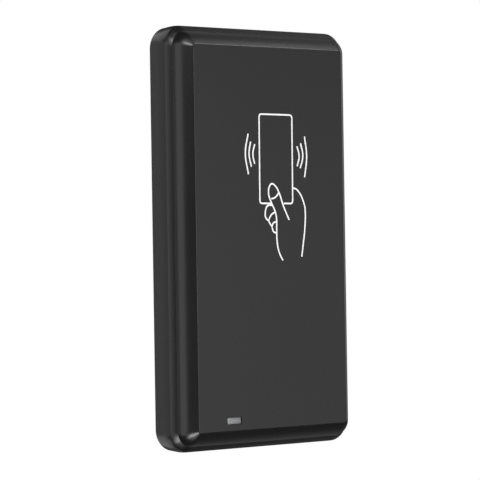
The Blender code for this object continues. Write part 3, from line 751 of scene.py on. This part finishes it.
# Matt white polyamide frame, and the glossier silicone with yellow phosphor cast into it.
phosphor, tree = new_material("led_package_and_phosphor")
place = add_node(tree, "ShaderNodeTexCoord").outputs["Object"]
led_low, led_high = (Vector(corner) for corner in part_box("status_led"))
centred = add_node(
    tree, "ShaderNodeVectorMath", {"operation": "SUBTRACT"},
    {0: place, 1: (led_low + led_high) / 2},
).outputs["Vector"]
flat = add_node(
    tree, "ShaderNodeVectorMath", {"operation": "MULTIPLY"}, {0: centred, 1: (1.0, 0.0, 1.0)}
).outputs["Vector"]
away = add_node(tree, "ShaderNodeVectorMath", {"operation": "LENGTH"}, {0: flat}).outputs["Value"]
inside = add_node(
    tree, "ShaderNodeMapRange", None,
    {"Value": away, "From Min": LED_WINDOW, "From Max": LED_WINDOW * LED_WINDOW_EDGE},
).outputs["Result"]
led_colour = add_node(
    tree, "ShaderNodeMix", {"data_type": "RGBA"},
    {"Factor": inside, 6: linear("ecebe4"), 7: linear("e3c34a")},
).outputs[2]
led_gloss = add_node(
    tree, "ShaderNodeMapRange", None, {"Value": inside, "To Min": 0.42, "To Max": 0.18}
).outputs["Result"]
finish_material(tree, add_node(
    tree, "ShaderNodeBsdfPrincipled", None, {"Base Color": led_colour, "Roughness": led_gloss}
))
paint(phosphor, "status_led")

# ---- Circuit board
# The laminate that carries the electronics: woven glass in epoxy with etched copper tracks on it,
# coated with green solder resist. It rests in the covers between the antenna and the terminals.
TRACK_PITCH = 1.27 * MM
TRACK_SHARE = 0.28  # half a track's width, as a share of the pitch

# Green solder resist: glossy, and slightly raised and lighter over the copper. The tracks are drawn
# 0.7 mm wide, coarser than the real ones, so that they show.
resist, tree = new_material("solder_resist_over_copper")
place = add_node(tree, "ShaderNodeTexCoord").outputs["Object"]
face_on = add_node(
    tree, "ShaderNodeMapping", None,
    {"Vector": place, "Rotation": (math.radians(90.0), 0.0, math.radians(45.0))},
).outputs["Vector"]
tracks = add_node(
    tree, "ShaderNodeTexBrick", {"offset": 0.5, "squash": 1.0},
    {
        "Vector": face_on, "Scale": 1.0 / TRACK_PITCH, "Brick Width": 9.0, "Row Height": 1.0,
        "Mortar Size": TRACK_SHARE, "Mortar Smooth": 0.1, "Color1": (0.0, 0.0, 0.0, 1.0),
        "Color2": (0.0, 0.0, 0.0, 1.0), "Mortar": (1.0, 1.0, 1.0, 1.0),
    },
).outputs["Fac"]
resist_shade = add_node(
    tree, "ShaderNodeMix", {"data_type": "RGBA"},
    {"Factor": tracks, 6: linear("0c3f22"), 7: linear("14592f")},
).outputs[2]
track_relief = add_node(
    tree, "ShaderNodeBump", None, {"Height": tracks, "Strength": 1.0, "Distance": 0.03 * MM}
).outputs["Normal"]
finish_material(tree, add_node(
    tree, "ShaderNodeBsdfPrincipled", None,
    {"Base Color": resist_shade, "Roughness": 0.3, "Normal": track_relief, "IOR": 1.55},
))
paint(resist, "main_pcb")

# ---- Antenna
# A flat coil of enamelled copper wire, wound on a former and stuck to a ferrite sheet, which
# keeps the board from damping it.

# Enamelled copper: drawn wire, a warm metal under a clear varnish, with soft streaks of shade.
paint(
    grained("enamelled_copper", ("b4562c", "c9713f"), (0.22, 0.34), 3 * MM, 0.3 * MM, 0.002 * MM,
            metallic=1.0),
    "antenna_coil",
)
# Sintered ferrite: a pressed and fired powder, dark, matt and finely speckled.
paint(
    grained("sintered_ferrite_sheet", ("2a2929", "3a3836"), (0.45, 0.6), 0.8 * MM, 0.2 * MM,
            0.004 * MM),
    "ferrite_sheet",
)

# ---- Components on the board
# Chips, a sounder, a crystal, a power inductor, tantalum capacitors, and small ceramic
# capacitors and resistors, all of them soldered to the board by their ends or legs.

# Transfer-moulded black epoxy: matt, with the fine tooth of a spark-eroded mould.
paint(
    grained("moulded_epoxy", ("17181a", "202124"), (0.42, 0.58), 1.5 * MM, 0.15 * MM, 0.004 * MM),
    "mcu_chip", "reader_ic", "voltage_regulator", "sounder",
)
# Nickel plate on a drawn steel can: a warm, slightly cloudy mirror.
paint(
    grained("nickel_plated_can", ("b9b7b0", "cac8c1"), (0.2, 0.3), 1.2 * MM, 0.1 * MM, 0.001 * MM,
            metallic=1.0),
    "crystal",
)
# Iron powder pressed in resin: dark grey, matt and grainy.
paint(
    grained("moulded_iron_powder", ("3a3b3e", "4b4c4f"), (0.5, 0.65), 0.6 * MM, 0.12 * MM,
            0.006 * MM),
    "power_inductor",
)


def tinned_ends(name, body_colours, axis, reach, *nodes):
    """A moulded or fired body with matt tin on its two ends, past a reach from its middle."""
    made, tree = new_material(name)
    place = add_node(tree, "ShaderNodeTexCoord").outputs["Object"]
    low, high = (Vector(corner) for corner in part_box(nodes[0]))
    along = add_node(tree, "ShaderNodeSeparateXYZ", None, {"Vector": place}).outputs[axis]
    middle = ((low + high) / 2)["XYZ".index(axis)]
    offset = add_node(
        tree, "ShaderNodeMath", {"operation": "SUBTRACT"}, {0: along, 1: middle}
    ).outputs["Value"]
    distance = add_node(
        tree, "ShaderNodeMath", {"operation": "ABSOLUTE"}, {0: offset}
    ).outputs["Value"]
    tinned = add_node(
        tree, "ShaderNodeMath", {"operation": "GREATER_THAN"}, {0: distance, 1: reach}
    ).outputs["Value"]
    mottle = add_node(
        tree, "ShaderNodeTexNoise", None, {"Vector": place, "Scale": 1.0 / (0.3 * MM)}
    ).outputs["Fac"]
    fired = add_node(
        tree, "ShaderNodeMix", {"data_type": "RGBA"},
        {"Factor": mottle, 6: linear(body_colours[0]), 7: linear(body_colours[1])},
    ).outputs[2]
    colour = add_node(
        tree, "ShaderNodeMix", {"data_type": "RGBA"},
        {"Factor": tinned, 6: fired, 7: linear("c4c3bf")},
    ).outputs[2]
    finish_material(tree, add_node(
        tree, "ShaderNodeBsdfPrincipled", None,
        {"Base Color": colour, "Roughness": 0.38, "Metallic": tinned},
    ))
    paint(made, *nodes)


CHIP_BODY_REACH = 0.5 * MM  # from a chip's middle to its tinned ends

# Fired ceramic: tan and mottled, between ends of matt tin.
tinned_ends(
    "fired_ceramic_tinned", ("8f7152", "a3845f"), "Z", CHIP_BODY_REACH,
    *[f"ceramic_capacitor_{number}" for number in range(1, 5)],
)
# Thick-film resistor: a near-black glaze over alumina, between ends of matt tin.
tinned_ends(
    "thick_film_resistor_tinned", ("1d1e22", "292a2f"), "Z", CHIP_BODY_REACH,
    *[f"chip_resistor_{number}" for number in range(1, 5)],
)
# Yellow moulded epoxy round the tantalum capacitors: satin, with a little drift in its shade.
paint(
    grained("yellow_moulded_epoxy", ("c08a1f", "cc9930"), (0.38, 0.5), 1.0 * MM, 0.15 * MM,
            0.003 * MM),
    "bulk_capacitor_1", "bulk_capacitor_2",
)

# ---- Terminal block
# A green polyamide block with eight ways, each with a wire mouth and a zinc-plated clamp screw
# in a well, reached through the rear cover.
TERMINAL_WAYS = 8
TERMINAL_PITCH = 2.54 * MM
TERMINAL_SCREW_D = 1.5 * MM
TERMINAL_SCREW_ROUND = 0.05 * MM
SCREW_SIDES = 32
TERMINAL_SCREW_FRONT = 8.0 * MM
TERMINAL_SCREW_BACK = 8.8 * MM
TERMINAL_SCREW_RISE = 1.8 * MM
TERMINAL_SCREW_Z = TERMINAL_Z + TERMINAL_SCREW_RISE
DRIVER_SLOT_W = 0.34 * MM
DRIVER_SLOT_DEEP = 0.3 * MM

# Green polyamide, injection moulded: a satin sheen over a fine grain.
paint(
    grained("green_polyamide", ("1d6b35", "237a3e"), (0.35, 0.48), 3 * MM, 0.25 * MM, 0.004 * MM),
    "terminal_block",
)
# Zinc-plated steel: a bright grey metal, slightly cloudy from the plating bath.
zinc_plate = grained(
    "zinc_plated_steel", ("b3b5b6", "c6c8c9"), (0.22, 0.36), 0.8 * MM, 0.12 * MM, 0.002 * MM,
    metallic=1.0,
)
for way in range(TERMINAL_WAYS):
    x = (way - (TERMINAL_WAYS - 1) / 2) * TERMINAL_PITCH
    clamp_screw = rod(
        f"clamp_screw_{way + 1}", TERMINAL_SCREW_D, TERMINAL_SCREW_FRONT, TERMINAL_SCREW_BACK,
        x, TERMINAL_SCREW_Z, SCREW_SIDES,
    )
    combine(clamp_screw, add_block(
        "driver_slot",
        (x - CUT_PAST, y_at(TERMINAL_SCREW_BACK - DRIVER_SLOT_DEEP),
         TERMINAL_SCREW_Z - DRIVER_SLOT_W / 2),
        (x + CUT_PAST, y_at(CASE_DEPTH), TERMINAL_SCREW_Z + DRIVER_SLOT_W / 2),
    ))
    soften(clamp_screw, TERMINAL_SCREW_ROUND)
    deliver(clamp_screw, zinc_plate, "reader", "screw_steel", f"terminal_screw_{way + 1}")

# ---- Tamper switch
# A black switch body on the board, and its white acetal plunger, which reaches through the rear
# cover and the mounting plate to feel for the wall.
PLUNGER_FLANGE_D = 4.4 * MM
PLUNGER_STEM_D = 3.0 * MM
PLUNGER_FLANGE_FRONT = 7.3 * MM
PLUNGER_FLANGE_BACK = 7.9 * MM
PLUNGER_TIP = 12.9 * MM
PLUNGER_TIP_ROUND = 0.7 * MM
PLUNGER_TIP_STEPS = 6
PLUNGER_ROUND = 0.08 * MM

# Moulded black polyester: a hard satin with a fine grain.
paint(
    grained("moulded_black_polyester", ("18191a", "222324"), (0.34, 0.46), 2 * MM, 0.2 * MM,
            0.003 * MM),
    "tamper_switch",
)
plunger = rod(
    "tamper_plunger_button", PLUNGER_FLANGE_D, PLUNGER_FLANGE_FRONT, PLUNGER_FLANGE_BACK, 0.0,
    TAMPER_Z,
)
bpy.ops.object.mode_set(mode="EDIT")
choose(plunger, "FACE", lambda middle, normal: normal.y > 0.99)
bpy.ops.mesh.inset(thickness=(PLUNGER_FLANGE_D - PLUNGER_STEM_D) / 2, depth=0.0)
push(PLUNGER_TIP - PLUNGER_FLANGE_BACK)
choose(
    plunger, "EDGE",
    lambda middle, along: middle.y > y_at(PLUNGER_TIP) - SAME_DEPTH and abs(along.y) < 0.5,
)
bpy.ops.mesh.bevel(offset=PLUNGER_TIP_ROUND, segments=PLUNGER_TIP_STEPS, affect="EDGES")
soften(plunger, PLUNGER_ROUND)

# White acetal, injection moulded: a waxy, slippery off-white with broad soft reflections.
acetal = grained(
    "white_acetal", ("dcdad2", "e6e4dd"), (0.3, 0.4), 4 * MM, 0.2 * MM, 0.001 * MM, 1.48
)
deliver(plunger, acetal, "tamper_button", "plunger_white", "tamper_plunger")

# ---- Gasket
# A ring between the front cover's skirt and the rear cover's floor, cut from a sheet and squeezed
# as the case screws are driven.

# Silicone rubber: soft black, matt and slightly dusty.
paint(
    grained("silicone_rubber", ("222222", "2c2b2b"), (0.62, 0.78), 5 * MM, 0.3 * MM, 0.004 * MM,
            1.43),
    "case_gasket",
)

# ---- Case screws
# Four countersunk steel screws with cross recesses, driven from the back through the rear
# cover's towers into the front cover's bosses. Their threads are drawn as rings.
SCREW_D = 2.0 * MM
SCREW_HEAD_D = 4.0 * MM
SCREW_HEAD_FRONT = 9.9 * MM
SCREW_HEAD_BACK = 11.1 * MM
HEAD_RIM = 0.2 * MM
HEAD_INSET = (SCREW_HEAD_D - SCREW_D) / 2
PLAIN_SHANK = 0.6 * MM
THREAD_PITCH = 0.5 * MM
THREAD_DEEP = 0.14 * MM
THREAD_TURNS = 8
TIP_INSET = 0.3 * MM
TIP_RISE = 0.2 * MM
SCREW_ROUND = 0.03 * MM
RECESS_ARM = 1.1 * MM
RECESS_W = 0.4 * MM
RECESS_DEEP = 0.7 * MM

for number, (x, z) in enumerate(BOSS_PLACES, 1):
    case_screw = rod(
        f"countersunk_screw_{number}", SCREW_HEAD_D, SCREW_HEAD_BACK - HEAD_RIM, SCREW_HEAD_BACK,
        x, z, SCREW_SIDES,
    )
    bpy.ops.object.mode_set(mode="EDIT")
    choose(case_screw, "FACE", lambda middle, normal: normal.y < -0.99)
    bpy.ops.mesh.inset(
        thickness=HEAD_INSET, depth=SCREW_HEAD_BACK - HEAD_RIM - SCREW_HEAD_FRONT
    )
    push(-PLAIN_SHANK)
    for _ in range(THREAD_TURNS):
        bpy.ops.mesh.inset(thickness=THREAD_DEEP, depth=THREAD_PITCH / 2)
        bpy.ops.mesh.inset(thickness=-THREAD_DEEP, depth=THREAD_PITCH / 2)
    bpy.ops.mesh.inset(thickness=TIP_INSET, depth=TIP_RISE)
    for across, up in ((RECESS_ARM, RECESS_W / 2), (RECESS_W / 2, RECESS_ARM)):
        combine(case_screw, add_block(
            "cross_recess",
            (x - across, y_at(SCREW_HEAD_BACK - RECESS_DEEP), z - up),
            (x + across, y_at(CASE_DEPTH), z + up),
        ))
    soften(case_screw, SCREW_ROUND, segments=1, angle=60.0)
    deliver(case_screw, zinc_plate, "reader", "screw_steel", f"case_screw_{number}")

# ---- Rating label
# A blank label of silvered polyester film with a printed border, stuck in a shallow recess of
# the rear cover.
LABEL_W = 18.0 * MM
LABEL_H = 16.0 * MM
LABEL_R = 1.0 * MM
LABEL_ROUND = 0.03 * MM
LABEL_FRONT = 11.0 * MM
LABEL_BACK = 11.15 * MM
BORDER_INSET = 0.9 * MM
BORDER_W = 0.25 * MM
BRUSH_WIDTH = 0.15 * MM
BRUSH_STRETCH = 0.05  # across over along, so the streaks run long in X

label = rounded_slab(
    "rating_label_film", LABEL_W, LABEL_H, LABEL_R, LABEL_FRONT, LABEL_BACK, 0.0, LABEL_Z,
    steps=6,
)
soften(label, LABEL_ROUND)

# Matt silver film: metallised polyester with a brushed look along X and a dark printed border.
film, tree = new_material("matt_silver_film")
place = add_node(tree, "ShaderNodeTexCoord").outputs["Object"]
parts = add_node(tree, "ShaderNodeSeparateXYZ", None, {"Vector": place})
sides = []
for axis, middle, half in (("X", 0.0, LABEL_W / 2), ("Z", LABEL_Z, LABEL_H / 2)):
    offset = add_node(
        tree, "ShaderNodeMath", {"operation": "SUBTRACT"}, {0: parts.outputs[axis], 1: middle}
    ).outputs["Value"]
    distance = add_node(
        tree, "ShaderNodeMath", {"operation": "ABSOLUTE"}, {0: offset}
    ).outputs["Value"]
    sides.append(add_node(
        tree, "ShaderNodeMath", {"operation": "SUBTRACT"}, {0: distance, 1: half - BORDER_INSET}
    ).outputs["Value"])
edge_distance = add_node(
    tree, "ShaderNodeMath", {"operation": "MAXIMUM"}, {0: sides[0], 1: sides[1]}
).outputs["Value"]
on_border = add_node(
    tree, "ShaderNodeMath", {"operation": "COMPARE"}, {0: edge_distance, 1: 0.0, 2: BORDER_W / 2}
).outputs["Value"]
stretched = add_node(
    tree, "ShaderNodeMapping", None, {"Vector": place, "Scale": (BRUSH_STRETCH, 1.0, 1.0)}
).outputs["Vector"]
brushed = add_node(
    tree, "ShaderNodeTexNoise", None,
    {"Vector": stretched, "Scale": 1.0 / BRUSH_WIDTH, "Detail": 2.0},
).outputs["Fac"]
film_shade = add_node(
    tree, "ShaderNodeMix", {"data_type": "RGBA"},
    {"Factor": brushed, 6: linear("a9abad"), 7: linear("bcbec0")},
).outputs[2]
label_colour = add_node(
    tree, "ShaderNodeMix", {"data_type": "RGBA"},
    {"Factor": on_border, 6: film_shade, 7: linear("2a2b2c")},
).outputs[2]
finish_material(tree, add_node(
    tree, "ShaderNodeBsdfPrincipled", None,
    {"Base Color": label_colour, "Roughness": 0.42, "Metallic": 0.35},
))
deliver(label, film, "reader", "label_silver", "rating_label")

# ---- Mounting plate
# The plate that is screwed to the wall, injection moulded in black ABS with a coarser grain.
# Four hooks hold the reader, four slots take the fixing screws, a window lets the cable through,
# and a slot near the top lets the tamper plunger reach the wall.
PLATE_W = 61.2 * MM
PLATE_TOP = 57.6 * MM
PLATE_BOTTOM = -53.1 * MM
PLATE_R = 4.1 * MM
PLATE_FRONT = 11.5 * MM
PLATE_ROUND = 0.2 * MM
WINDOW_W = 30.0 * MM
WINDOW_H = 22.0 * MM
WINDOW_R = 1.5 * MM
ROUND_END = 0.499  # a slot's corner radius over its width, just short of a full half round
PLUNGER_SLOT_W = 3.8 * MM
PLUNGER_SLOT_H = 8.3 * MM
PLUNGER_SLOT_Z = 46.25 * MM
FIXING_X = 24.5 * MM
FIXING_Z = 20.0 * MM
FIXING_PLACES = [(x * FIXING_X, z * FIXING_Z) for x in (-1, 1) for z in (-1, 1)]
FIXING_SLOT_W = 3.8 * MM
FIXING_SLOT_H = 8.0 * MM
FIXING_HEAD_W = 7.4 * MM
FIXING_HEAD_DEEP = 0.9 * MM
HOOK_W = 8.0 * MM
HOOK_T = 1.2 * MM
HOOK_FRONT = 8.4 * MM
HOOK_LIP_BACK = 9.4 * MM
HOOK_LIP = 3.5 * MM
HOOK_SUNK = 0.6 * MM  # how far the hook's stem runs into the plate
HOOK_ROUND = 0.15 * MM

plate = rounded_slab(
    "wall_plate_moulding", PLATE_W, PLATE_TOP - PLATE_BOTTOM, PLATE_R, PLATE_FRONT, CASE_DEPTH,
    0.0, (PLATE_TOP + PLATE_BOTTOM) / 2,
)
soften(plate, PLATE_ROUND, segments=3)
holes = [
    rounded_slab(
        "window", WINDOW_W, WINDOW_H, WINDOW_R, PLATE_FRONT - CUT_PAST, CASE_DEPTH + CUT_PAST,
        0.0, TERMINAL_Z, steps=8,
    ),
    rounded_slab(
        "plunger_slot", PLUNGER_SLOT_W, PLUNGER_SLOT_H, PLUNGER_SLOT_W * ROUND_END,
        PLATE_FRONT - CUT_PAST, CASE_DEPTH + CUT_PAST, 0.0, PLUNGER_SLOT_Z, steps=12,
    ),
]
for x, z in FIXING_PLACES:
    holes.append(rounded_slab(
        "fixing_slot", FIXING_SLOT_W, FIXING_SLOT_H, FIXING_SLOT_W * ROUND_END,
        PLATE_FRONT - CUT_PAST, CASE_DEPTH + CUT_PAST, x, z, steps=12,
    ))
combine(plate, gather(holes))
combine(plate, gather([
    rounded_slab(
        "fixing_head_room", FIXING_HEAD_W, FIXING_SLOT_H + FIXING_HEAD_W - FIXING_SLOT_W,
        FIXING_HEAD_W * ROUND_END, PLATE_FRONT - CUT_PAST, PLATE_FRONT + FIXING_HEAD_DEEP, x, z,
        steps=16,
    )
    for x, z in FIXING_PLACES
]))
hooks = []
for x, z in HOOK_PLACES:
    hook = add_block(
        "hook", (x - HOOK_W / 2, y_at(HOOK_FRONT), z - HOOK_T / 2),
        (x + HOOK_W / 2, y_at(HOOK_LIP_BACK), z + HOOK_T / 2 + HOOK_LIP),
    )
    bpy.ops.object.mode_set(mode="EDIT")
    bpy.ops.mesh.select_all(action="SELECT")
    bpy.ops.mesh.bisect(plane_co=(x, 0.0, z + HOOK_T / 2), plane_no=(0.0, 0.0, 1.0))
    choose(
        hook, "FACE", lambda middle, normal: normal.y > 0.99 and middle.z < z + HOOK_T / 2
    )
    push(PLATE_FRONT + HOOK_SUNK - HOOK_LIP_BACK)
    soften(hook, HOOK_ROUND)
    hooks.append(hook)
combine(plate, gather(hooks), "UNION")

# ABS with a coarse spark-eroded grain: a duller, greyer black than the covers. The grain is drawn
# at 0.45 mm, coarser than a real one, so that it shows.
coarse_abs = grained(
    "coarse_moulded_black_abs", ("1b1b1c", "222223"), (0.40, 0.52), 15 * MM, 0.45 * MM,
    0.012 * MM, 1.53,
)
deliver(plate, coarse_abs, "wall_plate", "plate_black", "mounting_plate")
